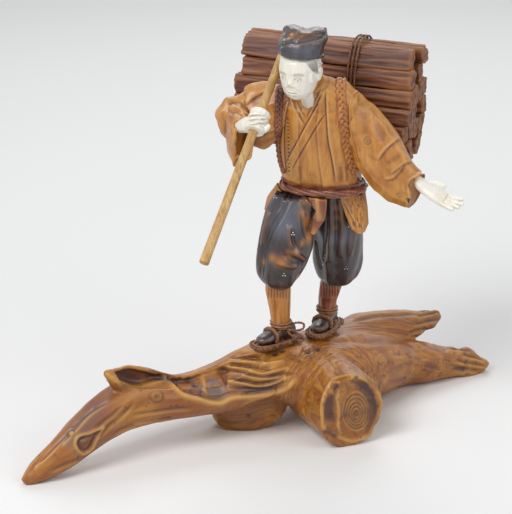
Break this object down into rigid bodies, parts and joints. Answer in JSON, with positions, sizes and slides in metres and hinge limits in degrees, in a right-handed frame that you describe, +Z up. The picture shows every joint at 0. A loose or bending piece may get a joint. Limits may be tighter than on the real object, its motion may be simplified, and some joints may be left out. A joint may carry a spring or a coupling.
{
  "type": "okimono carving",
  "caption": "Wooden okimono of a firewood gatherer with ivory head and hands, staff and corded bundle, striding over a natural root base.",
  "frame": {"origin": "bottom centre of the whole carving's bounding box, on the plane that the root rests on", "axes": "+Z up, +X along the root towards its ragged end, the figure walks towards -Y"},
  "size_m": [0.312, 0.2134, 0.277],
  "materials": {
    "firewood": "satin",
    "ivory": "polished ivory",
    "rootwood": "polished",
    "pale_wood": "satin",
    "stained_wood": "polished, stained dark",
    "straw_wood": "satin",
    "cord": "twisted cord",
    "boxwood": "polished"
  },
  "bodies": {
    "carving": {"apron_panel": "boxwood", "bundle_cord": "cord", "bundle_dowels": "pale_wood", "hat": "stained_wood", "head": "ivory", "left_foot": "stained_wood", "left_foot_dowel": "pale_wood", "left_hand": "ivory", "left_robe_flap": "boxwood", "left_sandal": "straw_wood", "left_sandal_ties": "straw_wood", "left_shin": "boxwood", "left_sleeve": "boxwood", "left_strap": "boxwood", "left_trouser_leg": "stained_wood", "right_foot": "stained_wood", "right_foot_dowel": "pale_wood", "right_hand": "ivory", "right_robe_flap": "boxwood", "right_sandal": "straw_wood", "right_sandal_ties": "straw_wood", "right_shin": "boxwood", "right_sleeve": "boxwood", "right_strap": "boxwood", "right_trouser_leg": "stained_wood", "robe_body": "boxwood", "root_base": "rootwood", "sash": "boxwood", "stick_01": "firewood", "stick_02": "firewood", "stick_03": "firewood", "stick_04": "firewood", "stick_05": "firewood", "stick_06": "firewood", "stick_07": "firewood", "stick_08": "firewood", "stick_09": "firewood", "stick_10": "firewood", "stick_11": "firewood", "stick_12": "firewood", "stick_13": "firewood", "stick_14": "firewood", "stick_15": "firewood", "stick_16": "firewood", "stick_17": "firewood", "stick_18": "firewood", "stick_19": "firewood", "stick_20": "firewood", "stick_21": "firewood", "stick_22": "firewood", "stick_23": "firewood", "stick_24": "firewood"},
    "staff": {"staff": "pale_wood"}
  },
  "joints": [
    {"name": "staff_slide", "type": "slide", "parent": "carving", "child": "staff", "axis": [-0.3139, -0.6762, -0.6665], "range_m": [0, 0.05]}
  ]
}
